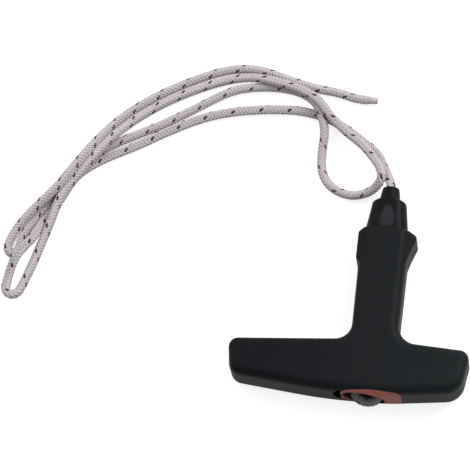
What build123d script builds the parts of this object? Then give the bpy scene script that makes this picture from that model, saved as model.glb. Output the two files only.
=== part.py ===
from build123d import *
import os
from math import atan2, degrees, pi, radians, tan

# A pull-starter rope with its T-shaped handle, lying flat, in millimetres.
# x runs along the crossbar to the short arm, y along the neck to the rope's exit, z up.
# The origin is on the surface it lies on, under the neck's axis, at the crossbar's middle line.

# Crossbar and neck of the handle, seen from above
BODY_THICK = 17.0
EDGE_ROUND = 3.8
LONG_ARM = 58.3
SHORT_ARM = 38.9
FRONT_CORNER = 3.9
LONG_BACK_CORNER = 5.2
SHORT_BACK_CORNER = 8.0
BACK_Y = -11.15
LONG_ROOT_Y = 11.55
SHORT_ROOT_Y = 11.65
LONG_FRONT_SWEEP = 4.1
SHORT_FRONT_SWEEP = 3.3
BACK_SWEEP = 6.0
LONG_BACK_TURN_X = -18.0
SHORT_BACK_TURN_X = 7.0
LONG_BACK_RADIUS = 225.0
SHORT_BACK_RADIUS = 84.0
LONG_END_SLANT = 8.2
SHORT_END_SLANT = 8.5
NECK_WIDTH = 19.5
NECK_ROOT_WIDTH = 18.8
LONG_ROOT_RADIUS = 6.8
SHORT_ROOT_RADIUS = 7.4
NECK_TOP_Y = 59.3
NECK_TOP_ROUND = 1.5

# Side lugs of the collar
LUG_THICK = 15.0
LUG_ROUND = 1.6
LUG_TOP_DROP = 0.4
LEFT_LUG_REACH = 10.8
LEFT_LUG_LENGTH = 13.2
LEFT_LUG_STEP = 3.4
LEFT_LUG_SHOULDER = 1.8
RIGHT_LUG_REACH = 13.2
RIGHT_LUG_LENGTH = 8.6
RIGHT_LUG_TAPER = 12.5
RIGHT_LUG_INSET = 2.3
RIGHT_LUG_SHOULDER = 2.5
RIGHT_LUG_SLOPE = 34.0
LUG_OVERLAP = 2.5

# Rope
ROPE_DIA = 3.5
ROPE_CLEARANCE = 0.3
WALL_HOLE_CLEARANCE = 0.8
EXIT_STRAIGHT = 4.0

# Damper insert: its barrel-shaped head, its eye for the knot and its ribbed stem
HEAD_WIDTH = 24.5
HEAD_HEIGHT = 15.0
HEAD_END_HEIGHT = 12.4
HEAD_CORNER = 3.2
HEAD_CENTRE_X = 0.8
HEAD_DEPTH = 9.0
HEAD_CLEARANCE = 0.15
RELIEF_WIDTH = 7.0
RELIEF_HEIGHT = 9.0
RELIEF_DEPTH = 5.0
RELIEF_CENTRE_X = -11.0
RELIEF_RISE = 1.6
EYE_WIDTH = 18.0
EYE_HEIGHT = 10.4
EYE_TILT = 25.0
EYE_DEPTH = 7.6
EYE_CENTRE_X = -2.2
EYE_DROP = 0.5
STEM_DIA = 11.4
STEM_WAIST_DIA = 9.2
STEM_CLEARANCE = 0.3
STEM_RIBS = 8
RIB_SHARE = 0.5
RIB_SLOPE = 0.6
FRONT_WALL = 4.0

# Nozzle in the collar's mouth
MOUTH_DIA = 10.4
MOUTH_DEPTH = 8.0
SPIGOT_CLEARANCE = 0.1
SPIGOT_END_GAP = 0.3
SNAP_WIDTH = 1.6
SNAP_HEIGHT = 0.35
SNAP_DEPTH = 4.6
SNAP_ROOT = 0.25
NOZZLE_BASE_WIDTH = 17.5
NOZZLE_BASE_HEIGHT = 11.2
NOZZLE_BASE_LENGTH = 13.0
SHOULDER_WIDTH = 13.8
SHOULDER_HEIGHT = 9.8
SHOULDER_LENGTH = 1.7
SHOULDER_ROUND = 1.6
TIP_ROOT_DIA = 8.3
TIP_END_DIA = 6.7
TIP_LENGTH = 5.0
TIP_ROUND = 1.0
CORNER_SHARE = 0.46
ARCH_WIDTH = 8.4
ARCH_CROWN_WIDTH = 4.0
ARCH_LENGTH = 9.4
ARCH_START = 2.2
ARCH_FOOT_WALL = 4.1
ARCH_CROWN_WALL = 4.9
ARCH_FOOT_ROUND = 1.0
ARCH_CROWN_ROUND = 1.9

# Working values
OVERSHOOT = 1.0
AXIS_Z = BODY_THICK / 2
NECK_HALF = NECK_WIDTH / 2
NECK_ROOT_HALF = NECK_ROOT_WIDTH / 2
ROPE_BORE = ROPE_DIA + 2 * ROPE_CLEARANCE
WALL_HOLE_DIA = ROPE_DIA + 2 * WALL_HOLE_CLEARANCE
POCKET_FLOOR_Y = BACK_Y + HEAD_DEPTH
CHAMBER_DIA = STEM_DIA + 2 * STEM_CLEARANCE
MOUTH_FLOOR_Y = NECK_TOP_Y - MOUTH_DEPTH
CHAMBER_END_Y = MOUTH_FLOOR_Y - FRONT_WALL
STEM_LENGTH = CHAMBER_END_Y - POCKET_FLOOR_Y
SPIGOT_DIA = MOUTH_DIA - 2 * SPIGOT_CLEARANCE
SHOULDER_Y = NECK_TOP_Y + NOZZLE_BASE_LENGTH
TIP_ROOT_Y = SHOULDER_Y + SHOULDER_LENGTH
EXIT_Y = TIP_ROOT_Y + TIP_LENGTH
EYE_FLOOR_Y = BACK_Y + EYE_DEPTH
ROPE_RADIUS = ROPE_DIA / 2

# Route of the rope inside the handle, from the nozzle's tip to the knot in the eye
KNOT_ROUTE = [
    (0.0, EXIT_Y, AXIS_Z),
    (0.0, EYE_FLOOR_Y - 1.4, AXIS_Z),
    (3.1, BACK_Y + 3.5, AXIS_Z - 0.5),
    (3.4, BACK_Y + 0.5, AXIS_Z - 1.9),
    (0.8, BACK_Y - 0.6, AXIS_Z - 2.7),
    (-2.8, BACK_Y - 0.7, AXIS_Z - 2.7),
    (-5.9, BACK_Y + 0.5, AXIS_Z - 1.6),
    (-6.9, BACK_Y + 3.0, AXIS_Z + 0.5),
    (-4.9, BACK_Y + 4.4, AXIS_Z + 2.2),
    (-2.0, BACK_Y + 3.2, AXIS_Z + 2.5),
    (0.8, BACK_Y + 1.2, AXIS_Z + 1.5),
]

# Route of the free rope from the nozzle's tip to its sealed end
ROUTE = [
    (0.0, EXIT_Y, AXIS_Z),
    (0.0, EXIT_Y + EXIT_STRAIGHT, AXIS_Z),
    (-1.2, 87.0, 6.6),
    (-3.8, 91.5, 3.4),
    (-7.5, 96.5, 1.8),
    (-13.0, 101.5, 1.8),
    (-21.0, 107.5, 1.8),
    (-29.5, 111.5, 1.8),
    (-41.0, 113.0, 1.8),
    (-53.5, 113.0, 1.8),
    (-67.5, 111.5, 1.8),
    (-80.5, 107.0, 1.8),
    (-94.5, 99.5, 1.8),
    (-107.0, 92.0, 1.8),
    (-118.0, 87.0, 1.8),
    (-125.5, 82.0, 1.8),
    (-130.5, 76.0, 1.8),
    (-134.5, 68.5, 1.8),
    (-138.0, 61.5, 1.8),
    (-141.5, 55.5, 1.8),
    (-144.5, 47.5, 4.6),
    (-147.5, 43.5, 5.6),
    (-150.5, 39.0, 5.4),
    (-152.0, 34.5, 3.2),
    (-153.0, 30.0, 1.8),
    (-153.5, 25.0, 1.8),
    (-150.7, 22.6, 1.8),
    (-147.1, 23.7, 1.8),
    (-145.6, 29.0, 1.8),
    (-143.5, 37.0, 1.8),
    (-140.0, 48.0, 1.9),
    (-137.0, 56.5, 4.2),
    (-135.2, 66.0, 5.8),
    (-131.0, 74.0, 5.5),
    (-126.0, 82.0, 5.5),
    (-121.0, 89.5, 5.6),
    (-115.0, 97.5, 4.5),
    (-108.5, 105.0, 1.8),
    (-98.5, 112.5, 1.8),
    (-86.0, 119.5, 1.8),
    (-73.0, 125.0, 1.8),
    (-62.5, 126.5, 3.0),
    (-52.5, 124.0, 5.7),
    (-42.0, 121.5, 5.9),
    (-33.5, 116.0, 8.6),
    (-28.5, 110.5, 7.9),
    (-22.0, 104.5, 5.5),
    (-13.5, 98.0, 5.4),
    (-8.0, 93.0, 6.6),
    (-5.0, 88.0, 8.0),
    (-4.3, 83.5, 7.8),
    (-6.3, 80.3, 6.0),
    (-10.5, 78.3, 3.4),
    (-17.5, 77.0, 1.8),
    (-26.0, 79.5, 1.8),
    (-30.5, 86.5, 1.8),
    (-31.0, 96.5, 1.8),
    (-30.0, 103.5, 4.6),
    (-32.0, 110.5, 5.9),
    (-35.5, 117.0, 4.1),
    (-42.0, 121.5, 1.9),
    (-51.0, 123.0, 1.8),
    (-61.0, 122.5, 1.8),
    (-71.5, 120.0, 1.8),
    (-84.0, 111.5, 1.8),
    (-98.0, 102.5, 1.8),
    (-109.5, 96.0, 1.8),
    (-120.0, 90.5, 1.8),
    (-127.5, 85.0, 1.8),
    (-133.5, 78.5, 1.8),
    (-137.2, 71.0, 1.8),
    (-141.5, 62.5, 1.8),
    (-145.5, 56.0, 1.8),
    (-148.5, 48.5, 1.8),
    (-149.0, 42.0, 1.8),
    (-151.5, 40.0, 1.8),
    (-154.5, 41.0, 1.8),
    (-156.0, 43.8, 1.8),
    (-154.6, 48.2, 1.8),
    (-151.8, 53.8, 1.8),
    (-147.2, 61.2, 2.9),
    (-141.8, 67.0, 4.9),
    (-136.5, 73.0, 5.9),
    (-130.5, 82.5, 6.0),
    (-123.5, 93.5, 4.2),
    (-114.5, 105.5, 1.8),
    (-100.5, 116.0, 1.8),
    (-85.5, 124.0, 1.8),
    (-72.0, 130.0, 1.8),
    (-59.5, 130.5, 1.8),
    (-47.5, 126.5, 1.8),
    (-35.5, 124.0, 1.8),
    (-26.0, 123.0, 1.8),
    (-18.0, 120.5, 1.8),
    (-10.0, 121.0, 1.8),
]
ARC_SHARE = 0.45


def across(y):
    """Plane square to the neck's axis, facing the rope's exit."""
    return Plane(origin=(0, y, AXIS_Z), x_dir=(1, 0, 0), z_dir=(0, 1, 0))


def rod(diameter, y_from, y_to, x=0.0):
    """Round bar along the neck's direction."""
    section = across(y_from) * Pos(x, 0) * Circle(diameter / 2)
    return extrude(section, y_to - y_from)


def rounded_corners(face, corners):
    """Rounds each named corner of a flat outline with its own radius."""
    for (x, y), radius in corners:
        nearest = min(face.vertices(), key=lambda v: (v.X - x) ** 2 + (v.Y - y) ** 2)
        face = fillet(nearest, radius)
    return face


def arm_end(side, reach, root_y, back_turn_x, front_sweep, slant):
    """Front and back corner of an arm that gets narrower outwards, its end leaning in at the back."""
    front = root_y - tan(radians(front_sweep)) * (reach - NECK_ROOT_HALF)
    back = BACK_Y + tan(radians(BACK_SWEEP)) * (reach - abs(back_turn_x))
    back_reach = reach - tan(radians(slant)) * (front - back)
    return (side * reach, front), (side * back_reach, back)


def crossbar_and_neck():
    """The flat T of the handle, its outline extruded and its long edges rounded."""
    long_front, long_back = arm_end(
        -1, LONG_ARM, LONG_ROOT_Y, LONG_BACK_TURN_X, LONG_FRONT_SWEEP, LONG_END_SLANT)
    short_front, short_back = arm_end(
        1, SHORT_ARM, SHORT_ROOT_Y, SHORT_BACK_TURN_X, SHORT_FRONT_SWEEP, SHORT_END_SLANT)
    long_turn = (LONG_BACK_TURN_X, BACK_Y)
    short_turn = (SHORT_BACK_TURN_X, BACK_Y)
    right_root = (NECK_ROOT_HALF, SHORT_ROOT_Y)
    left_root = (-NECK_ROOT_HALF, LONG_ROOT_Y)
    outline = Polyline(
        long_back, long_turn, short_turn, short_back, short_front, right_root,
        (NECK_HALF, NECK_TOP_Y), (-NECK_HALF, NECK_TOP_Y), left_root, long_front,
        close=True,
    )
    face = rounded_corners(make_face(outline), [
        (long_back, LONG_BACK_CORNER),
        (long_turn, LONG_BACK_RADIUS),
        (short_turn, SHORT_BACK_RADIUS),
        (short_back, SHORT_BACK_CORNER),
        (short_front, FRONT_CORNER),
        (right_root, SHORT_ROOT_RADIUS),
        (left_root, LONG_ROOT_RADIUS),
        (long_front, FRONT_CORNER),
    ])
    slab = extrude(face, BODY_THICK)
    rims = slab.faces().sort_by(Axis.Z)
    rim_edges = rims[0].edges() + rims[-1].edges()
    long_edges = rim_edges.filter_by(lambda e: e.center().Y < NECK_TOP_Y - 0.01)
    slab = fillet(long_edges, EDGE_ROUND)
    top = slab.faces().sort_by(Axis.Y)[-1]
    return fillet(top.edges(), NECK_TOP_ROUND)


def side_lug(points):
    """One lug beside the neck: a plan outline of its own thickness, its outer edges rounded."""
    outline = make_face(Polyline(*points, close=True))
    lug = Pos(0, 0, AXIS_Z) * extrude(outline, LUG_THICK / 2, both=True)
    inner_x = abs(points[0][0])
    outer_edges = lug.edges().filter_by(lambda e: abs(e.center().X) > inner_x + 0.1)
    return fillet(outer_edges, LUG_ROUND)


def side_lugs():
    """The left lug ends in a step, the right one tapers into the neck."""
    inner = NECK_HALF - LUG_OVERLAP
    top = NECK_TOP_Y - LUG_TOP_DROP
    left_foot = top - LEFT_LUG_LENGTH
    right_foot = top - RIGHT_LUG_LENGTH
    left = side_lug([
        (-inner, top),
        (-LEFT_LUG_REACH + LEFT_LUG_SHOULDER, top),
        (-LEFT_LUG_REACH, top - LEFT_LUG_SHOULDER),
        (-LEFT_LUG_REACH, left_foot),
        (-inner, left_foot - LEFT_LUG_STEP),
    ])
    right = side_lug([
        (inner, top),
        (RIGHT_LUG_REACH - RIGHT_LUG_SHOULDER / tan(radians(RIGHT_LUG_SLOPE)), top),
        (RIGHT_LUG_REACH, top - RIGHT_LUG_SHOULDER),
        (RIGHT_LUG_REACH - RIGHT_LUG_INSET, right_foot),
        (inner, right_foot - RIGHT_LUG_TAPER),
    ])
    return left + right


def head_block(clearance, floor_y):
    """Barrel-shaped prism from the pocket's floor out through the crossbar's outer face."""
    half = HEAD_WIDTH / 2 - clearance
    crown = HEAD_HEIGHT / 2 - clearance
    corner = HEAD_END_HEIGHT / 2 - clearance
    outline = [
        ThreePointArc((-half, corner), (0, crown), (half, corner)),
        Line((half, corner), (half, -corner)),
        ThreePointArc((half, -corner), (0, -crown), (-half, -corner)),
        Line((-half, -corner), (-half, corner)),
    ]
    face = rounded_corners(make_face(outline), [
        ((side * half, end * corner), HEAD_CORNER - clearance)
        for side in (-1, 1) for end in (-1, 1)
    ])
    section = across(floor_y) * Pos(HEAD_CENTRE_X, 0) * face
    return extrude(section, BACK_Y - ROPE_DIA - floor_y)


def relief():
    """Shallow hollow that runs on past the damper's head, on the long arm's side."""
    ellipse = Ellipse(RELIEF_WIDTH / 2, RELIEF_HEIGHT / 2)
    section = across(BACK_Y + RELIEF_DEPTH) * Pos(RELIEF_CENTRE_X, -RELIEF_RISE) * ellipse
    return extrude(section, -RELIEF_DEPTH - OVERSHOOT)


def snap_ring(outer, inner, width):
    """Ring with sloped flanks round the neck's axis, at the snap's place in the mouth."""
    y = NECK_TOP_Y - SNAP_DEPTH
    low = inner / 2
    high = outer / 2
    profile = make_face(Polyline(
        (0, y - width / 2), (low, y - width / 2), (high, y - width / 6),
        (high, y + width / 6), (low, y + width / 2), (0, y + width / 2),
        close=True,
    ))
    return Pos(0, 0, AXIS_Z) * revolve(profile, Axis.Y, 360)


def grip_body(blank):
    """Handle moulding with the pocket, the damper's chamber, the front wall and the mouth."""
    body = blank + side_lugs()
    body -= head_block(0.0, POCKET_FLOOR_Y)
    body -= relief()
    body -= rod(CHAMBER_DIA, POCKET_FLOOR_Y - OVERSHOOT, CHAMBER_END_Y)
    body -= rod(MOUTH_DIA, MOUTH_FLOOR_Y, NECK_TOP_Y + OVERSHOOT)
    body -= rod(WALL_HOLE_DIA, CHAMBER_END_Y - OVERSHOOT, NECK_TOP_Y)
    groove = MOUTH_DIA + 2 * SNAP_HEIGHT
    body -= snap_ring(groove, MOUTH_DIA - 2 * SNAP_ROOT, SNAP_WIDTH + 2 * SPIGOT_CLEARANCE)
    return body


def eye_opening():
    """Eye for the knot, an ellipse that leans down towards the short arm."""
    ellipse = Ellipse(EYE_WIDTH / 2, EYE_HEIGHT / 2)
    place = Pos(EYE_CENTRE_X, EYE_DROP) * Rot(0, 0, EYE_TILT)
    section = across(EYE_FLOOR_Y) * place * ellipse
    return extrude(section, BACK_Y - ROPE_DIA - EYE_FLOOR_Y)


def ribbed_stem():
    """Stem with round ribs, and a plain foot at each end."""
    pitch = STEM_LENGTH / STEM_RIBS
    rib = pitch * RIB_SHARE
    tip = STEM_DIA / 2
    waist = STEM_WAIST_DIA / 2
    foot = POCKET_FLOOR_Y - OVERSHOOT
    points = [(0, foot), (tip, foot)]
    for index in range(STEM_RIBS):
        start = POCKET_FLOOR_Y + index * pitch
        points.append((tip, start + rib / 2))
        points.append((waist, start + rib / 2 + RIB_SLOPE))
        points.append((waist, start + pitch - rib / 2 - RIB_SLOPE))
        points.append((tip, start + pitch - rib / 2))
    points.append((tip, CHAMBER_END_Y))
    points.append((0, CHAMBER_END_Y))
    profile = make_face(Polyline(*points, close=True))
    return Pos(0, 0, AXIS_Z) * revolve(profile, Axis.Y, 360)


def damper_insert(blank):
    """Rubber damper: its head follows the crossbar's outer face, its stem fills the chamber."""
    head = head_block(HEAD_CLEARANCE, POCKET_FLOOR_Y) & blank
    insert = head + ribbed_stem()
    insert -= eye_opening()
    insert -= rod(ROPE_BORE, EYE_FLOOR_Y - OVERSHOOT, CHAMBER_END_Y + OVERSHOOT)
    return insert


def oval_section(y, width, height):
    """Rounded cross-section of the nozzle at one place on its axis."""
    corner = CORNER_SHARE * min(width, height)
    return across(y) * RectangleRounded(width, height, corner)


def arch_scoop():
    """Cutter for the arch on the nozzle's flat side: narrow at its crown and deepest at its foot."""
    foot_half = ARCH_WIDTH / 2
    crown_half = ARCH_CROWN_WIDTH / 2
    outline = Polyline(
        (-foot_half, 0), (foot_half, 0), (crown_half, ARCH_LENGTH), (-crown_half, ARCH_LENGTH),
        close=True,
    )
    face = rounded_corners(make_face(outline), [
        ((-foot_half, 0), ARCH_FOOT_ROUND),
        ((foot_half, 0), ARCH_FOOT_ROUND),
        ((crown_half, ARCH_LENGTH), ARCH_CROWN_ROUND),
        ((-crown_half, ARCH_LENGTH), ARCH_CROWN_ROUND),
    ])
    rise = degrees(atan2(ARCH_CROWN_WALL - ARCH_FOOT_WALL, ARCH_LENGTH))
    foot = Pos(0, NECK_TOP_Y + ARCH_START, AXIS_Z + ARCH_FOOT_WALL)
    return foot * Rot(rise, 0, 0) * extrude(face, NOZZLE_BASE_HEIGHT)


def rope_nozzle():
    """Stepped, flattened nozzle with a snap spigot, an arch on each flat side and a round lip."""
    base = oval_section(NECK_TOP_Y, NOZZLE_BASE_WIDTH, NOZZLE_BASE_HEIGHT)
    shoulder = oval_section(SHOULDER_Y, SHOULDER_WIDTH, SHOULDER_HEIGHT)
    tip_root = oval_section(TIP_ROOT_Y, TIP_ROOT_DIA, TIP_ROOT_DIA)
    tip_end = oval_section(EXIT_Y, TIP_END_DIA, TIP_END_DIA)
    nozzle = loft([base, shoulder], ruled=True)
    nozzle += loft([shoulder, tip_root], ruled=True)
    nozzle += loft([tip_root, tip_end], ruled=True)
    shoulder_edges = nozzle.edges().filter_by(lambda e: abs(e.center().Y - SHOULDER_Y) < 0.01)
    nozzle = fillet(shoulder_edges, SHOULDER_ROUND)
    nozzle = fillet(nozzle.faces().sort_by(Axis.Y)[-1].edges(), TIP_ROUND)
    nozzle += rod(SPIGOT_DIA, MOUTH_FLOOR_Y + SPIGOT_END_GAP, NECK_TOP_Y + OVERSHOOT)
    bead = SPIGOT_DIA + 2 * (SNAP_HEIGHT - SPIGOT_CLEARANCE)
    nozzle += snap_ring(bead, SPIGOT_DIA - 2 * SNAP_ROOT, SNAP_WIDTH)
    scoop = arch_scoop()
    nozzle -= scoop
    nozzle -= Pos(0, 0, 2 * AXIS_Z) * scoop.mirror(Plane.XY)
    nozzle -= rod(ROPE_BORE, MOUTH_FLOOR_Y, EXIT_Y + OVERSHOOT)
    return nozzle


def corner_radii(points):
    """Largest arc that the two runs at each corner allow, and the turn there in degrees."""
    radii = []
    turns = []
    for before, at, after in zip(points, points[1:], points[2:]):
        run_in = Vector(*at) - Vector(*before)
        run_out = Vector(*after) - Vector(*at)
        turn = run_in.get_angle(run_out)
        shorter = min(run_in.length, run_out.length)
        radii.append(ARC_SHARE * shorter / tan(radians(turn) / 2))
        turns.append(turn)
    return radii, turns


def rope_tube(points):
    """Plain round tube along a route: straight runs joined by arcs."""
    radii, turns = corner_radii(points)
    path = FilletPolyline(*[Vector(*point) for point in points], radius=radii)
    section = Plane(origin=path @ 0, z_dir=path % 0) * Circle(ROPE_RADIUS)
    rope = sweep(section, path=path)
    expected = pi * ROPE_RADIUS ** 2 * path.length
    print("arc radii:", " ".join(f"{radius:.1f}" for radius in radii))
    print("smallest arc radius", round(min(radii), 2), "largest turn", round(max(turns), 1))
    print("length", round(path.length, 1), "volume over section times length", rope.volume / expected)
    return rope


os.makedirs("parts", exist_ok=True)
blank = crossbar_and_neck()
export_step(grip_body(blank), "parts/grip_body.step")
export_step(damper_insert(blank), "parts/damper_insert.step")
export_step(rope_nozzle(), "parts/rope_nozzle.step")
export_step(rope_tube(KNOT_ROUTE), "parts/rope_inner_end.step")
export_step(rope_tube(ROUTE), "parts/rope.step")
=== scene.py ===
import bpy
import math
from mathutils import Matrix, Vector


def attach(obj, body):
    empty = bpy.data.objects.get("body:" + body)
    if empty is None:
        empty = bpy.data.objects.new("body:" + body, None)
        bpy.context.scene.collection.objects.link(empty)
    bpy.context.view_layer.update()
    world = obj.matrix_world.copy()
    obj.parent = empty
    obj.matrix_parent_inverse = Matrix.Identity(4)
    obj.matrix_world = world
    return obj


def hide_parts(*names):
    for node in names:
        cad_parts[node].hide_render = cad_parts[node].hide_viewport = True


# A pull-starter rope with its T handle, dressed in the CAD frame, in metres.

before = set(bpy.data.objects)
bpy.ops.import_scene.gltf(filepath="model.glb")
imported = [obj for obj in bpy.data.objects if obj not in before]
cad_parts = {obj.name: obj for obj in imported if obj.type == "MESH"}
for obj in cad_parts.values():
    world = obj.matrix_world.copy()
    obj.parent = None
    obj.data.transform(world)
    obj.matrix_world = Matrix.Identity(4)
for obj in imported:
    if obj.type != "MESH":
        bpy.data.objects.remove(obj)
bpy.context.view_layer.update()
MM = 0.001

# The photograph's view, worked out from the handle's and the rope's outlines
CAMERA_PLACE = Vector((0.1261, -0.4722, 1.3908))
CAMERA_FORWARD = Vector((-0.1257, 0.3529, -0.9272))
CAMERA_UP = Vector((-0.0739, 0.9287, 0.3635))
CAMERA_LENS = 281.5
CAMERA_SENSOR = 36.0
CAMERA_NEAREST = 0.05

# Studio light: a soft surround with one darker corner, and two square lamps
SURROUND_LEVEL = 0.75
DARK_CORNER = 0.7
DARK_CORNER_TOWARD = (-0.8, -0.6, 0.0)
DARK_CORNER_FADE = (0.45, 0.75)
DARK_CORNER_RISE = (0.04, 0.2)
HANK_MIDDLE = (-0.05, 0.06, 0.0)
LAMP_SIZE = 0.9
KEY_LAMP_PLACE = (0.9, 0.9, 1.3)
KEY_LAMP_POWER = 26.0
FILL_LAMP_PLACE = (-1.3, 0.4, 1.2)
FILL_LAMP_POWER = 10.0

# Floor: its colour, and what it adds for the camera and in reflections
FLOOR_SIZE = 6.0
FLOOR_COLOUR = (0.36, 0.36, 0.36, 1.0)
FLOOR_LIFT = 0.79

# Rope: a braid of sixteen yarns round a core, one of them dark
BRAID_PITCH = 0.0118
YARNS_EACH_WAY = 8
DARK_YARN = 0
YARN_RADIUS = 0.00159
YARN_WIDTH = 0.0012
YARN_THICKNESS = 0.00046
YARN_SIDES = 4
YARN_WAVE = 0.00012
CROSSING_STEEPNESS = 1.7
CROSSING_SHIFT = math.pi / 4
SAMPLES_PER_TURN = 16
CORE_RADIUS = 0.00141
CORE_SIDES = 8
TIP_LENGTH = 0.0048
TIP_THINNESS = 0.5
ROUTE_STEPS = 10
ROUTE_ORDER = 3

# Yarn's colours: in a pair, its darker and lighter fibres; painted shade where a yarn dips under
# another, the lit colour where it passes over
YARN_SHADED_UNDER = ((0.41, 0.365, 0.37, 1.0), (0.50, 0.455, 0.46, 1.0))
YARN_LIT_OVER = ((0.42, 0.385, 0.39, 1.0), (0.54, 0.50, 0.505, 1.0))
YARN_DARK = ((0.016, 0.003, 0.008, 1.0), (0.055, 0.012, 0.024, 1.0))
YARN_WARM = (0.54, 0.47, 0.48, 1.0)
YARN_MELTED = (0.27, 0.25, 0.25, 1.0)
# Colour of the painted shade on the knot's braid
YARN_PAINTED_SHADE = (0.035, 0.033, 0.040, 1.0)

# Yarn's finish
FIBRES_ALONG = 900.0
FIBRES_ACROSS = 5.0
FIBRES_DETAIL = 3.0
YARNS_APART = 7.3
WARM_PATCHES = 260.0
WARM_DETAIL = 1.0
WARM_SHARE = 0.35
CROSSING_LIFT = (-1.0, 0.6)
MELTED_SHARE = 0.7
# Mottled painted shade on the knot, which lies in shade in the insert's eye
SHADE_MOTTLE_SCALE = 320.0
SHADE_MOTTLE_DETAIL = 3.0
SHADE_MOTTLE_FADE = (0.3, 0.7)
SHADE_MOTTLE_LEAST = 0.75
KNOT_SHADE_SHARE = 0.8
YARN_ROUGHNESS = 0.78
MELTED_ROUGHNESS = 0.4
YARN_BUMP = 0.00006
YARN_SPECULAR = 0.3
YARN_SHEEN = 0.15
YARN_SHEEN_ROUGHNESS = 0.5

# Moulded skin that the grip, the nozzle and the insert share
GRAIN_DETAIL = 3.0
GRAIN_ROUGHNESS = 0.6
GRAIN_SHARE = 0.7
PITS_SHARE = 0.3
MOTTLE_DETAIL = 4.0
MOTTLE_ROUGHNESS = 0.55
RUB_STRETCH = (140.0, 1700.0, 400.0)
RUB_DETAIL = 2.0
RUB_FADE = (0.62, 0.78)
PLASTIC_SPECULAR = 0.08

# Grip: in a pair of colours, the long arm's end and the short arm's
GRIP_GRAIN = 1400.0
GRIP_MOTTLE = 55.0
GRIP_DRIFT = (-0.045, 0.03)
GRIP_DEEP = ((0.0040, 0.0035, 0.0056, 1.0), (0.0074, 0.0098, 0.0108, 1.0))
GRIP_PALE = ((0.0066, 0.0060, 0.0086, 1.0), (0.0108, 0.0138, 0.0150, 1.0))
GRIP_RUBBED = (0.03, 0.03, 0.033, 1.0)
GRIP_RUB_SHARE = 0.25
GRIP_ROUGHNESS = (0.62, 0.46)
GRIP_BUMP = 0.00002

# Nozzle, with a painted highlight on its scooped arch
NOZZLE_GRAIN = 1900.0
NOZZLE_MOTTLE = 120.0
NOZZLE_BLACK = ((0.0036, 0.0034, 0.0046, 1.0), (0.0062, 0.0060, 0.0078, 1.0))
NOZZLE_RUBBED = (0.03, 0.03, 0.034, 1.0)
NOZZLE_RUB_SHARE = 0.2
NOZZLE_ROUGHNESS = (0.52, 0.38)
NOZZLE_BUMP = 0.000015
ARCH_MIDDLE_Y = 0.0655
ARCH_HALF_LENGTH = 0.0052
ARCH_HALF_WIDTH = 0.0038
ARCH_TAPER = 0.45
ARCH_FADE = (1.15, 0.35)
ARCH_RISE = (0.009, 0.011)
# Colour of the painted highlight on the arch
ARCH_HIGHLIGHT = (0.0250, 0.0240, 0.0290, 1.0)

# Orange insert: its eye, seen from the front, with painted shade inside it and a darker patch
# beside it
RUBBER_GRAIN = 1100.0
RUBBER_MOTTLE = 180.0
RUBBER_FRESH = ((0.285, 0.090, 0.071, 1.0), (0.38, 0.144, 0.116, 1.0))
# Painted shade inside the eye; the darker patch beside it takes the same colour
RUBBER_SHADE_AND_PATCH = ((0.014, 0.004, 0.007, 1.0), (0.036, 0.010, 0.015, 1.0))
RUBBER_RUBBED = (0.36, 0.16, 0.13, 1.0)
RUBBER_RUB_SHARE = 0.3
RUBBER_SHADE_AND_PATCH_SHARE = 0.93
RUBBER_ROUGHNESS = (0.66, 0.5)
RUBBER_BUMP = 0.00003
RUBBER_SPECULAR = 0.1
EYE_ACROSS = -0.0022
EYE_UP = 0.008
EYE_HALF_WIDTH = 0.009
EYE_HALF_HEIGHT = 0.0052
EYE_TILT = math.radians(-25)
EYE_RIM = (1.06, 1.0)
EYE_DEPTH = (-0.01108, -0.0107)
# Darker patch to the lower left of the eye, outside it
DARK_PATCH_ACROSS = (-0.0032, -0.0056)
DARK_PATCH_UP = (0.0128, 0.0108)
DARK_PATCH_OUTSIDE = (1.02, 1.05)

# Route of the rope's inner end: from the nozzle's mouth through the grip to the stopper knot
KNOT_ROUTE_MM = [
    (0.0, 79.0, 8.5),
    (0.0, -0.8, 8.5),
    (0.0, -4.95, 8.5),
    (3.1, -7.65, 7.9),
    (3.5, -10.6, 6.6),
    (1.0, -11.8, 5.9),
    (-2.4, -11.8, 5.8),
    (-5.2, -10.5, 6.3),
    (-6.3, -8.1, 7.9),
    (-4.8, -6.2, 9.8),
    (-2.0, -6.5, 11.2),
    (0.8, -8.2, 11.3),
]

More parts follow.
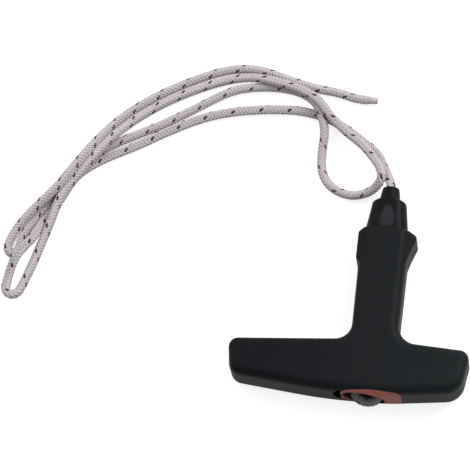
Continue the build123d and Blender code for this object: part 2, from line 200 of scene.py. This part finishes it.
# Route of the free rope, near the plain tube's points
ROUTE_MM = [
    (0.0, 79.0, 8.5),
    (-0.4, 81.6, 8.4),
    (-2.4, 86.0, 5.4),
    (-4.7, 90.6, 3.2),
    (-7.3, 96.4, 1.8),
    (-13.5, 100.9, 1.8),
    (-21.6, 106.6, 1.8),
    (-29.8, 110.9, 1.8),
    (-41.0, 113.4, 1.8),
    (-53.5, 113.0, 1.8),
    (-67.5, 111.2, 1.8),
    (-80.7, 107.5, 1.8),
    (-94.8, 100.2, 1.8),
    (-107.2, 92.5, 1.8),
    (-118.0, 87.0, 1.8),
    (-125.6, 82.1, 1.8),
    (-131.2, 76.7, 1.8),
    (-134.8, 68.8, 1.8),
    (-138.0, 61.5, 1.8),
    (-141.9, 55.8, 1.8),
    (-144.5, 47.5, 4.6),
    (-147.2, 43.7, 5.6),
    (-150.2, 39.1, 5.4),
    (-152.0, 34.5, 3.2),
    (-153.0, 30.0, 1.8),
    (-153.5, 25.0, 1.8),
    (-150.8, 23.1, 1.8),
    (-147.7, 24.3, 1.8),
    (-146.0, 29.2, 1.8),
    (-143.5, 37.0, 1.8),
    (-140.5, 48.2, 2.2),
    (-137.6, 56.8, 4.9),
    (-135.5, 66.2, 5.8),
    (-131.0, 74.0, 5.5),
    (-126.0, 82.0, 5.5),
    (-121.0, 89.5, 5.6),
    (-115.0, 97.5, 4.5),
    (-108.5, 105.0, 1.8),
    (-98.5, 112.5, 1.8),
    (-86.0, 119.5, 1.8),
    (-73.0, 125.0, 1.8),
    (-62.5, 126.5, 3.0),
    (-52.5, 124.0, 5.7),
    (-42.0, 121.5, 5.9),
    (-33.5, 116.0, 8.6),
    (-28.9, 110.1, 7.9),
    (-22.1, 104.4, 5.5),
    (-13.3, 98.3, 5.5),
    (-8.6, 92.5, 7.2),
    (-5.2, 87.6, 9.2),
    (-4.2, 83.2, 9.0),
    (-6.3, 80.3, 6.0),
    (-10.4, 78.0, 3.4),
    (-17.5, 77.0, 1.8),
    (-25.5, 80.1, 1.8),
    (-30.0, 86.7, 1.8),
    (-30.6, 96.5, 1.8),
    (-29.9, 103.5, 4.6),
    (-32.0, 110.5, 5.9),
    (-35.5, 117.0, 4.1),
    (-42.0, 121.5, 1.9),
    (-51.0, 123.0, 1.8),
    (-61.0, 122.5, 1.8),
    (-71.5, 120.0, 1.8),
    (-84.0, 111.5, 1.8),
    (-98.0, 102.5, 1.8),
    (-109.3, 96.7, 1.8),
    (-119.8, 90.8, 1.8),
    (-127.5, 85.0, 1.8),
    (-133.9, 79.1, 1.9),
    (-137.8, 71.6, 1.9),
    (-141.7, 62.7, 1.8),
    (-145.8, 56.2, 1.8),
    (-149.45, 48.65, 1.8),
    (-149.9, 44.4, 1.8),
    (-151.1, 41.5, 1.8),
    (-153.7, 41.1, 1.8),
    (-155.05, 43.9, 1.8),
    (-153.5, 48.7, 2.0),
    (-151.0, 53.8, 2.8),
    (-145.8, 60.15, 4.7),
    (-140.4, 65.75, 6.6),
    (-135.1, 71.8, 7.7),
    (-129.6, 81.6, 7.8),
    (-123.1, 92.9, 5.5),
    (-114.5, 105.5, 1.8),
    (-100.6, 116.2, 1.8),
    (-85.6, 124.4, 1.8),
    (-72.0, 130.0, 1.8),
    (-59.5, 130.5, 1.8),
    (-47.5, 126.5, 1.8),
    (-35.6, 123.5, 1.8),
    (-26.1, 122.5, 1.8),
    (-18.1, 119.9, 1.8),
    (-10.1, 120.1, 1.8),
]


def node(tree, kind, inputs=None, **settings):
    """Adds a node, sets its properties, and fills or links its inputs by name or number."""
    made = tree.nodes.new(kind)
    for name, value in settings.items():
        setattr(made, name, value)
    for key, value in (inputs or {}).items():
        if isinstance(value, bpy.types.NodeSocket):
            tree.links.new(value, made.inputs[key])
        else:
            made.inputs[key].default_value = value
    return made


def maths(tree, operation, *values, clamp=False):
    """A Math node's result."""
    inputs = dict(enumerate(values))
    return node(tree, "ShaderNodeMath", inputs, operation=operation, use_clamp=clamp).outputs[0]


def times(tree, first, second):
    """The product of two values."""
    return maths(tree, "MULTIPLY", first, second)


def within(tree, value, least, most):
    """A value held between two others."""
    return maths(tree, "MINIMUM", maths(tree, "MAXIMUM", value, least), most)


def vector_maths(tree, operation, first, second=None, scale=None, result="Vector"):
    """A Vector Math node's result."""
    inputs = {0: first}
    if second is not None:
        inputs[1] = second
    if scale is not None:
        inputs["Scale"] = scale
    return node(tree, "ShaderNodeVectorMath", inputs, operation=operation).outputs[result]


def tree_input(tree, name, kind, default=None):
    """Adds a named input to a node group's interface."""
    socket = tree.interface.new_socket(name, in_out="INPUT", socket_type=kind)
    if default is not None:
        socket.default_value = default


def tree_output(tree, name, kind):
    """Adds a named output to a node group's interface."""
    tree.interface.new_socket(name, in_out="OUTPUT", socket_type=kind)


def stored(tree, geometry, name, value, kind="FLOAT", domain="POINT"):
    """Geometry with a named attribute stored on it."""
    inputs = {"Geometry": geometry, "Name": name, "Value": value}
    made = node(tree, "GeometryNodeStoreNamedAttribute", inputs, data_type=kind, domain=domain)
    return made.outputs[0]


def straight_yarns(tree, given, length):
    """All the yarns as straight unit rods, each with its own number."""
    turns = maths(tree, "DIVIDE", length, given["Pitch"])
    rings = maths(tree, "CEIL", times(tree, turns, given["Samples per turn"]))
    ends = {"Start": (0, 0, 0), "End": (1, 0, 0)}
    straight = node(tree, "GeometryNodeCurvePrimitiveLine", ends).outputs[0]
    cut = node(tree, "GeometryNodeResampleCurve", {"Curve": straight, "Count": rings}).outputs[0]
    outline = {"Resolution": YARN_SIDES, "Radius": 1.0}
    outline = node(tree, "GeometryNodeCurvePrimitiveCircle", outline).outputs[0]
    swept = {"Curve": cut, "Profile Curve": outline, "Fill Caps": True}
    yarn = node(tree, "GeometryNodeCurveToMesh", swept).outputs[0]
    count = times(tree, given["Yarns each way"], 2.0)
    places = node(tree, "GeometryNodePoints", {"Count": count}).outputs[0]
    copies = {"Points": places, "Instance": yarn}
    copies = node(tree, "GeometryNodeInstanceOnPoints", copies).outputs[0]
    index = node(tree, "GeometryNodeInputIndex").outputs[0]
    copies = stored(tree, copies, "yarn", index, "INT", "INSTANCE")
    return node(tree, "GeometryNodeRealizeInstances", {"Geometry": copies}).outputs[0]


def core_tube(tree, given, line):
    """The core that closes the gaps between the yarns."""
    outline = {"Resolution": CORE_SIDES, "Radius": given["Core radius"]}
    outline = node(tree, "GeometryNodeCurvePrimitiveCircle", outline).outputs[0]
    core = {"Curve": line, "Profile Curve": outline, "Fill Caps": True}
    core = node(tree, "GeometryNodeCurveToMesh", core).outputs[0]
    return stored(tree, core, "over", -1.0)


def braided_sheath_tree():
    """Geometry Nodes tree that weaves yarns round a centre line, two over and two under."""
    tree = bpy.data.node_groups.new("Braided sheath", "GeometryNodeTree")
    tree_input(tree, "Centre line", "NodeSocketGeometry")
    tree_input(tree, "Yarns each way", "NodeSocketInt", YARNS_EACH_WAY)
    tree_input(tree, "Pitch", "NodeSocketFloat", BRAID_PITCH)
    tree_input(tree, "Yarn radius", "NodeSocketFloat", YARN_RADIUS)
    tree_input(tree, "Yarn width", "NodeSocketFloat", YARN_WIDTH)
    tree_input(tree, "Yarn thickness", "NodeSocketFloat", YARN_THICKNESS)
    tree_input(tree, "Wave", "NodeSocketFloat", YARN_WAVE)
    tree_input(tree, "Samples per turn", "NodeSocketFloat", SAMPLES_PER_TURN)
    tree_input(tree, "Core radius", "NodeSocketFloat", CORE_RADIUS)
    tree_input(tree, "Tip length", "NodeSocketFloat", TIP_LENGTH)
    tree_input(tree, "Tip thinness", "NodeSocketFloat", TIP_THINNESS)
    tree_input(tree, "Tracer yarn", "NodeSocketInt", DARK_YARN)
    tree_input(tree, "Sheath", "NodeSocketMaterial")
    tree_output(tree, "Braid", "NodeSocketGeometry")
    given = node(tree, "NodeGroupInput").outputs

    line = node(tree, "GeometryNodeMeshToCurve", {"Mesh": given["Centre line"]}).outputs[0]
    length = node(tree, "GeometryNodeCurveLength", {"Curve": line}).outputs[0]
    yarns = straight_yarns(tree, given, length)

    # Each yarn's hand, and its start round the rope
    number = {"Name": "yarn"}
    number = node(tree, "GeometryNodeInputNamedAttribute", number, data_type="INT").outputs[0]
    pair = maths(tree, "FLOOR", maths(tree, "DIVIDE", number, 2.0))
    odd = maths(tree, "MODULO", number, 2.0)
    hand = maths(tree, "SUBTRACT", times(tree, odd, 2.0), 1.0)
    start = maths(tree, "DIVIDE", times(tree, pair, math.tau), given["Yarns each way"])

    # Where a point of the yarn lies along the rope and round it
    place = node(tree, "GeometryNodeInputPosition").outputs[0]
    split = node(tree, "ShaderNodeSeparateXYZ", {0: place}).outputs
    along = times(tree, split["X"], length)
    turn = maths(tree, "DIVIDE", math.tau, given["Pitch"])
    angle = maths(tree, "ADD", start, times(tree, times(tree, along, turn), hand))
    lean = maths(tree, "ARCTANGENT", times(tree, turn, given["Yarn radius"]))
    sideways = times(tree, split["Y"], times(tree, given["Yarn width"], 0.5))

    # The tip that was sealed by heat draws together
    to_end = maths(tree, "SUBTRACT", length, along)
    tip = maths(tree, "DIVIDE", to_end, given["Tip length"], clamp=True)
    sealed = maths(tree, "SUBTRACT", 1.0, tip)
    thin = maths(tree, "SUBTRACT", 1.0, times(tree, sealed, given["Tip thinness"]))
    radius = times(tree, given["Yarn radius"], thin)

    # Over two and under two: the wave depends only on the place round the rope
    column = times(tree, angle, times(tree, given["Yarns each way"], 0.5))
    swing = maths(tree, "COSINE", maths(tree, "SUBTRACT", column, CROSSING_SHIFT))
    square = within(tree, times(tree, swing, CROSSING_STEEPNESS), -1.0, 1.0)
    over = times(tree, square, hand)
    height = times(tree, over, given["Wave"])
    depth = times(tree, split["Z"], times(tree, given["Yarn thickness"], 0.5))
    out = maths(tree, "ADD", radius, times(tree, maths(tree, "ADD", height, depth), thin))

    # The yarn's width lies across its own lean on the rope's surface
    slip = times(tree, times(tree, sideways, maths(tree, "SINE", lean)), hand)
    slip = within(tree, maths(tree, "SUBTRACT", along, slip), 0.0, length)
    shift = times(tree, sideways, maths(tree, "COSINE", lean))
    shift = maths(tree, "DIVIDE", shift, given["Yarn radius"])
    around = maths(tree, "ADD", angle, shift)

    # The point on the rope's surface, from the centre line's own axes there
    followed = {"Curves": line, "Length": slip}
    sample = node(tree, "GeometryNodeSampleCurve", followed, mode="LENGTH").outputs
    across = vector_maths(tree, "CROSS_PRODUCT", sample["Tangent"], sample["Normal"])
    sine = times(tree, maths(tree, "SINE", around), out)
    cosine = times(tree, maths(tree, "COSINE", around), out)
    one_way = vector_maths(tree, "SCALE", sample["Normal"], scale=cosine)
    other_way = vector_maths(tree, "SCALE", across, scale=sine)
    offset = vector_maths(tree, "ADD", one_way, other_way)
    target = vector_maths(tree, "ADD", sample["Position"], offset)

    # What the yarn's material reads
    same = {2: number, 3: given["Tracer yarn"]}
    same = node(tree, "FunctionNodeCompare", same, data_type="INT", operation="EQUAL").outputs[0]
    yarns = stored(tree, yarns, "tracer", same)
    yarns = stored(tree, yarns, "along", along)
    yarns = stored(tree, yarns, "sideways", split["Y"])
    yarns = stored(tree, yarns, "over", over)
    yarns = stored(tree, yarns, "sealed", sealed)
    moved = {"Geometry": yarns, "Position": target}
    placed = node(tree, "GeometryNodeSetPosition", moved).outputs[0]

    joined = node(tree, "GeometryNodeJoinGeometry")
    tree.links.new(core_tube(tree, given, line), joined.inputs[0])
    tree.links.new(placed, joined.inputs[0])
    real = {"Geometry": joined.outputs[0]}
    real = node(tree, "GeometryNodeRealizeInstances", real).outputs[0]
    smooth = {"Geometry": real, "Shade Smooth": True}
    smooth = node(tree, "GeometryNodeSetShadeSmooth", smooth).outputs[0]
    dressed = {"Geometry": smooth, "Material": given["Sheath"]}
    dressed = node(tree, "GeometryNodeSetMaterial", dressed).outputs[0]
    node(tree, "NodeGroupOutput", {"Braid": dressed})
    return tree


def route_curve(name, points):
    """Smooth open spline whose control points are the route's points."""
    data = bpy.data.curves.new(name, "CURVE")
    data.dimensions = "3D"
    data.resolution_u = ROUTE_STEPS
    spline = data.splines.new("NURBS")
    spline.points.add(len(points) - 1)
    for point, place in zip(spline.points, points):
        point.co = (*place, 1.0)
    spline.order_u = ROUTE_ORDER
    spline.use_endpoint_u = True
    return bpy.data.objects.new(name, data)


def evaluated_mesh(piece):
    """A new mesh of a piece as Blender evaluates it."""
    bpy.context.view_layer.update()
    evaluated = piece.evaluated_get(bpy.context.evaluated_depsgraph_get())
    return bpy.data.meshes.new_from_object(evaluated)


def braid(name, points, material, sheath_tree):
    """A braided piece along a route, as a plain mesh, and the points that it follows."""
    curve = route_curve(name + "_route", points)
    bpy.context.scene.collection.objects.link(curve)
    line = evaluated_mesh(curve)
    path = [vertex.co.copy() for vertex in line.vertices]
    piece = bpy.data.objects.new(name, line)
    bpy.context.scene.collection.objects.link(piece)
    weave = piece.modifiers.new("Braid", "NODES")
    weave.node_group = sheath_tree
    for item in sheath_tree.interface.items_tree:
        if item.name == "Sheath":
            weave[item.identifier] = material
    woven = evaluated_mesh(piece)
    piece.modifiers.remove(weave)
    piece.data = woven
    bpy.data.objects.remove(curve)
    return piece, path


def new_material(name):
    """Material with an empty node tree."""
    material = bpy.data.materials.new(name)
    material.use_nodes = True
    tree = material.node_tree
    tree.nodes.clear()
    return material, tree


def noise(tree, place, scale, detail, roughness=0.5):
    """A Noise texture's value."""
    inputs = {"Vector": place, "Scale": scale, "Detail": detail, "Roughness": roughness}
    return node(tree, "ShaderNodeTexNoise", inputs).outputs[0]


def fade(tree, value, start, stop, low=0.0, high=1.0):
    """How far a value has come from start to stop, as a level between low and high."""
    inputs = {"Value": value, "From Min": start, "From Max": stop, "To Min": low, "To Max": high}
    return node(tree, "ShaderNodeMapRange", inputs).outputs[0]


def blend_colours(tree, share, first, second):
    """Mix of two colours by a share."""
    inputs = {0: share, 6: first, 7: second}
    return node(tree, "ShaderNodeMix", inputs, data_type="RGBA").outputs[2]


def yarn_value(tree, name):
    """A value that the braid's tree stored on the yarns."""
    return node(tree, "ShaderNodeAttribute", attribute_name=name).outputs["Fac"]


def object_place(tree):
    """The surface's place in the piece's own coordinates."""
    return node(tree, "ShaderNodeTexCoord").outputs["Object"]


def skin_group():
    """Shader group for a moulded surface: fine grain, slow mottling and light rub marks."""
    tree = bpy.data.node_groups.new("Moulded skin", "ShaderNodeTree")
    tree_input(tree, "Place", "NodeSocketVector")
    tree_input(tree, "Grain scale", "NodeSocketFloat", GRIP_GRAIN)
    tree_input(tree, "Mottle scale", "NodeSocketFloat", GRIP_MOTTLE)
    for name in ("Height", "Mottle", "Rub"):
        tree_output(tree, name, "NodeSocketFloat")
    given = node(tree, "NodeGroupInput").outputs
    place = given["Place"]
    grain = noise(tree, place, given["Grain scale"], GRAIN_DETAIL, GRAIN_ROUGHNESS)
    pits = {"Vector": place, "Scale": given["Grain scale"]}
    pits = node(tree, "ShaderNodeTexVoronoi", pits, feature="SMOOTH_F1").outputs[0]
    height = maths(tree, "ADD", times(tree, grain, GRAIN_SHARE), times(tree, pits, PITS_SHARE))
    mottle = noise(tree, place, given["Mottle scale"], MOTTLE_DETAIL, MOTTLE_ROUGHNESS)
    stretched = vector_maths(tree, "MULTIPLY", place, RUB_STRETCH)
    streaks = noise(tree, stretched, 1.0, RUB_DETAIL)
    rub = times(tree, fade(tree, streaks, *RUB_FADE), mottle)
    node(tree, "NodeGroupOutput", {"Height": height, "Mottle": mottle, "Rub": rub})
    return tree


def skin(tree, group, place, grain_scale, mottle_scale):
    """The moulded skin's outputs in a material."""
    inputs = {"Place": place, "Grain scale": grain_scale, "Mottle scale": mottle_scale}
    return node(tree, "ShaderNodeGroup", inputs, node_tree=group).outputs


def finish_surface(tree, colour, roughness, height, bump_depth, specular):
    """Principled surface with its bump, joined to the material's output."""
    bump = {"Height": height, "Strength": 1.0, "Distance": bump_depth}
    bump = node(tree, "ShaderNodeBump", bump).outputs[0]
    surface = node(tree, "ShaderNodeBsdfPrincipled", {
        "Base Color": colour, "Roughness": roughness, "Normal": bump,
        "Specular IOR Level": specular,
    })
    node(tree, "ShaderNodeOutputMaterial", {"Surface": surface.outputs[0]})
    return surface


def braid_material(name, painted_shade):
    """Warm grey-white polyester yarn with one dark tracer, its fibres, painted shade where a yarn
    dips under another, and a given share of mottled painted shade.
    """
    material, tree = new_material(name)
    along = yarn_value(tree, "along")
    sealed = yarn_value(tree, "sealed")

    # Fibres run along each yarn, and each yarn is a little lighter or darker
    lengthways = times(tree, along, FIBRES_ALONG)
    across = times(tree, yarn_value(tree, "sideways"), FIBRES_ACROSS)
    apart = times(tree, yarn_value(tree, "yarn"), YARNS_APART)
    fibres = {"X": lengthways, "Y": across, "Z": apart}
    fibres = node(tree, "ShaderNodeCombineXYZ", fibres).outputs[0]
    fibres = noise(tree, fibres, 1.0, FIBRES_DETAIL)
    patches = {"X": times(tree, along, WARM_PATCHES), "Z": apart}
    patches = node(tree, "ShaderNodeCombineXYZ", patches).outputs[0]
    patches = noise(tree, patches, 1.0, WARM_DETAIL)

    # Painted shade where a yarn dips under, lighter where it passes over; dark along the tracer,
    # grey where the tip melted
    below = blend_colours(tree, fibres, *YARN_SHADED_UNDER)
    above = blend_colours(tree, fibres, *YARN_LIT_OVER)
    above = blend_colours(tree, times(tree, patches, WARM_SHARE), above, YARN_WARM)
    lift = fade(tree, yarn_value(tree, "over"), *CROSSING_LIFT)
    colour = blend_colours(tree, lift, below, above)
    dark = blend_colours(tree, fibres, *YARN_DARK)
    colour = blend_colours(tree, yarn_value(tree, "tracer"), colour, dark)
    melted = times(tree, sealed, MELTED_SHARE)
    colour = blend_colours(tree, melted, colour, YARN_MELTED)

    if painted_shade:
        # Mottled painted shade over the whole piece, by the given share
        clouds = noise(tree, object_place(tree), SHADE_MOTTLE_SCALE, SHADE_MOTTLE_DETAIL)
        darkened_share = fade(tree, clouds, *SHADE_MOTTLE_FADE, painted_shade * SHADE_MOTTLE_LEAST, painted_shade)
        colour = blend_colours(tree, darkened_share, colour, YARN_PAINTED_SHADE)

    hair = times(tree, fibres, maths(tree, "SUBTRACT", 1.0, melted))
    roughness = fade(tree, sealed, 0.0, 1.0, YARN_ROUGHNESS, MELTED_ROUGHNESS)
    surface = finish_surface(tree, colour, roughness, hair, YARN_BUMP, YARN_SPECULAR)
    surface.inputs["Sheen Weight"].default_value = YARN_SHEEN
    surface.inputs["Sheen Roughness"].default_value = YARN_SHEEN_ROUGHNESS
    return material


def grip_material(group):
    """Black moulded plastic of the grip, cooler towards the short arm."""
    material, tree = new_material("Black grip plastic")
    place = object_place(tree)
    made = skin(tree, group, place, GRIP_GRAIN, GRIP_MOTTLE)
    across = node(tree, "ShaderNodeSeparateXYZ", {0: place}).outputs["X"]
    drift = fade(tree, across, *GRIP_DRIFT)
    deep = blend_colours(tree, drift, *GRIP_DEEP)
    pale = blend_colours(tree, drift, *GRIP_PALE)
    colour = blend_colours(tree, made["Mottle"], deep, pale)
    rub = times(tree, made["Rub"], GRIP_RUB_SHARE)
    colour = blend_colours(tree, rub, colour, GRIP_RUBBED)
    roughness = fade(tree, made["Mottle"], 0.0, 1.0, *GRIP_ROUGHNESS)
    finish_surface(tree, colour, roughness, made["Height"], GRIP_BUMP, PLASTIC_SPECULAR)
    return material


def nozzle_material(group):
    """Black moulded plastic of the nozzle, with a painted highlight on its scooped arch."""
    material, tree = new_material("Black nozzle plastic")
    place = object_place(tree)
    made = skin(tree, group, place, NOZZLE_GRAIN, NOZZLE_MOTTLE)
    axes = node(tree, "ShaderNodeSeparateXYZ", {0: place}).outputs

    # Painted highlight on the arch, narrower towards the tip, and only on the nozzle's top
    ahead = maths(tree, "SUBTRACT", axes["Y"], ARCH_MIDDLE_Y)
    ahead = maths(tree, "DIVIDE", ahead, ARCH_HALF_LENGTH)
    aside = maths(tree, "DIVIDE", axes["X"], ARCH_HALF_WIDTH)
    aside = times(tree, aside, maths(tree, "ADD", 1.0, times(tree, ahead, ARCH_TAPER)))
    reach = maths(tree, "ADD", maths(tree, "POWER", aside, 2.0), maths(tree, "POWER", ahead, 2.0))
    arch = times(tree, fade(tree, reach, *ARCH_FADE), fade(tree, axes["Z"], *ARCH_RISE))

    colour = blend_colours(tree, made["Mottle"], *NOZZLE_BLACK)
    # The arch's painted highlight
    colour = blend_colours(tree, arch, colour, ARCH_HIGHLIGHT)
    rub = times(tree, made["Rub"], NOZZLE_RUB_SHARE)
    colour = blend_colours(tree, rub, colour, NOZZLE_RUBBED)
    roughness = fade(tree, made["Mottle"], 0.0, 1.0, *NOZZLE_ROUGHNESS)
    finish_surface(tree, colour, roughness, made["Height"], NOZZLE_BUMP, PLASTIC_SPECULAR)
    return material


def rubber_material(group):
    """Orange rubber of the insert, with painted shade inside its eye and a darker patch to the
    left of it.
    """
    material, tree = new_material("Orange rubber")
    place = object_place(tree)
    made = skin(tree, group, place, RUBBER_GRAIN, RUBBER_MOTTLE)
    axes = node(tree, "ShaderNodeSeparateXYZ", {0: place}).outputs

    # How far a point is from the eye's middle, 1 at its edge
    aside = maths(tree, "SUBTRACT", axes["X"], EYE_ACROSS)
    above = maths(tree, "SUBTRACT", axes["Z"], EYE_UP)
    cosine, sine = math.cos(EYE_TILT), math.sin(EYE_TILT)
    long_way = maths(tree, "ADD", times(tree, aside, cosine), times(tree, above, sine))
    short_way = maths(tree, "SUBTRACT", times(tree, above, cosine), times(tree, aside, sine))
    long_way = maths(tree, "POWER", maths(tree, "DIVIDE", long_way, EYE_HALF_WIDTH), 2.0)
    short_way = maths(tree, "POWER", maths(tree, "DIVIDE", short_way, EYE_HALF_HEIGHT), 2.0)
    reach = maths(tree, "SQRT", maths(tree, "ADD", long_way, short_way))

    # Painted shade in the eye's hollow
    hollow = times(tree, fade(tree, reach, *EYE_RIM), fade(tree, axes["Y"], *EYE_DEPTH))
    # A darker patch to the lower left of the eye, outside it
    dark_patch = times(tree, fade(tree, axes["X"], *DARK_PATCH_ACROSS), fade(tree, axes["Z"], *DARK_PATCH_UP))
    dark_patch = times(tree, dark_patch, fade(tree, reach, *DARK_PATCH_OUTSIDE))
    # Share of the painted shade and of the darker patch
    darkened_share = times(tree, maths(tree, "MAXIMUM", hollow, dark_patch), RUBBER_SHADE_AND_PATCH_SHARE)

    fresh = blend_colours(tree, made["Mottle"], *RUBBER_FRESH)
    rub = times(tree, made["Rub"], RUBBER_RUB_SHARE)
    fresh = blend_colours(tree, rub, fresh, RUBBER_RUBBED)
    shade_and_patch = blend_colours(tree, made["Mottle"], *RUBBER_SHADE_AND_PATCH)
    colour = blend_colours(tree, darkened_share, fresh, shade_and_patch)
    roughness = fade(tree, made["Mottle"], 0.0, 1.0, *RUBBER_ROUGHNESS)
    finish_surface(tree, colour, roughness, made["Height"], RUBBER_BUMP, RUBBER_SPECULAR)
    return material


def dress(name, material):
    """Gives a CAD node its material."""
    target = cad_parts[name]
    target.data.materials.clear()
    target.data.materials.append(material)


def build_camera():
    """Camera at the photograph's place and turn."""
    data = bpy.data.cameras.new("Camera")
    data.lens = CAMERA_LENS
    data.sensor_width = CAMERA_SENSOR
    data.clip_start = CAMERA_NEAREST
    camera = bpy.data.objects.new("Camera", data)
    forward = CAMERA_FORWARD.normalized()
    right = forward.cross(CAMERA_UP).normalized()
    up = right.cross(forward)
    turn = Matrix((right, up, -forward)).transposed().to_4x4()
    camera.matrix_world = Matrix.Translation(CAMERA_PLACE) @ turn
    bpy.context.scene.collection.objects.link(camera)
    bpy.context.scene.camera = camera


def build_floor():
    """Pale floor, white to the camera and in reflections, that keeps the object's shadow."""
    bpy.ops.mesh.primitive_plane_add(size=FLOOR_SIZE, location=(0, 0, 0))
    floor = bpy.context.object
    floor.name = "floor"
    material, tree = new_material("Pale floor")
    surface = node(tree, "ShaderNodeBsdfDiffuse", {"Color": FLOOR_COLOUR}).outputs[0]
    path = node(tree, "ShaderNodeLightPath").outputs
    shown = maths(tree, "MAXIMUM", path["Is Camera Ray"], path["Is Glossy Ray"])
    shown = maths(tree, "MAXIMUM", shown, path["Is Transmission Ray"])
    lift = times(tree, shown, FLOOR_LIFT)
    white = node(tree, "ShaderNodeEmission", {"Strength": lift}).outputs[0]
    both = node(tree, "ShaderNodeAddShader", {0: surface, 1: white}).outputs[0]
    node(tree, "ShaderNodeOutputMaterial", {"Surface": both})
    floor.data.materials.append(material)


def soft_light(name, place, power):
    """Square soft lamp aimed at the middle of the hank."""
    data = bpy.data.lights.new(name, "AREA")
    data.size = LAMP_SIZE
    data.energy = power
    lamp = bpy.data.objects.new(name, data)
    lamp.location = place
    aim = (Vector(HANK_MIDDLE) - Vector(place)).to_track_quat("-Z", "Y")
    lamp.rotation_euler = aim.to_euler()
    bpy.context.scene.collection.objects.link(lamp)


def build_light():
    """Even studio light: a soft surround with one darker corner, a key lamp and a fill lamp."""
    world = bpy.data.worlds.new("Studio")
    world.use_nodes = True
    tree = world.node_tree
    tree.nodes.clear()
    toward = node(tree, "ShaderNodeTexCoord").outputs["Generated"]
    height = node(tree, "ShaderNodeSeparateXYZ", {0: toward}).outputs["Z"]
    corner = vector_maths(tree, "DOT_PRODUCT", toward, DARK_CORNER_TOWARD, result="Value")
    corner = fade(tree, corner, *DARK_CORNER_FADE)
    raised = fade(tree, height, *DARK_CORNER_RISE)
    darkening = times(tree, times(tree, corner, raised), DARK_CORNER)
    level = times(tree, SURROUND_LEVEL, maths(tree, "SUBTRACT", 1.0, darkening))
    surround = node(tree, "ShaderNodeBackground", {"Strength": level}).outputs[0]
    node(tree, "ShaderNodeOutputWorld", {"Surface": surround})
    bpy.context.scene.world = world
    soft_light("Key lamp", KEY_LAMP_PLACE, KEY_LAMP_POWER)
    soft_light("Fill lamp", FILL_LAMP_PLACE, FILL_LAMP_POWER)


# Camera, floor and light
bpy.context.scene.view_settings.view_transform = "Standard"
build_camera()
build_floor()
build_light()

# Free rope, from the nozzle to its sealed tip
rope_finish = braid_material("Braided polyester", 0.0)
sheath = braided_sheath_tree()
route = [tuple(value * MM for value in point) for point in ROUTE_MM]
rope, rope_path = braid("rope_braid", route, rope_finish, sheath)
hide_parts("rope")
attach(rope, "root")

# The rope's inner end, with the stopper knot in the insert's eye
knot_route = [tuple(value * MM for value in point) for point in KNOT_ROUTE_MM]
# The knot's braid carries painted shade, as the knot lies in shade in the insert's eye
knot_finish = braid_material("Shade-painted braid", KNOT_SHADE_SHARE)
inner_end = braid("rope_inner_braid", knot_route, knot_finish, sheath)[0]
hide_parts("rope_inner_end")
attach(inner_end, "root")

# Handle, as the CAD model has it
moulded_skin = skin_group()
dress("grip_body", grip_material(moulded_skin))
dress("rope_nozzle", nozzle_material(moulded_skin))
dress("damper_insert", rubber_material(moulded_skin))
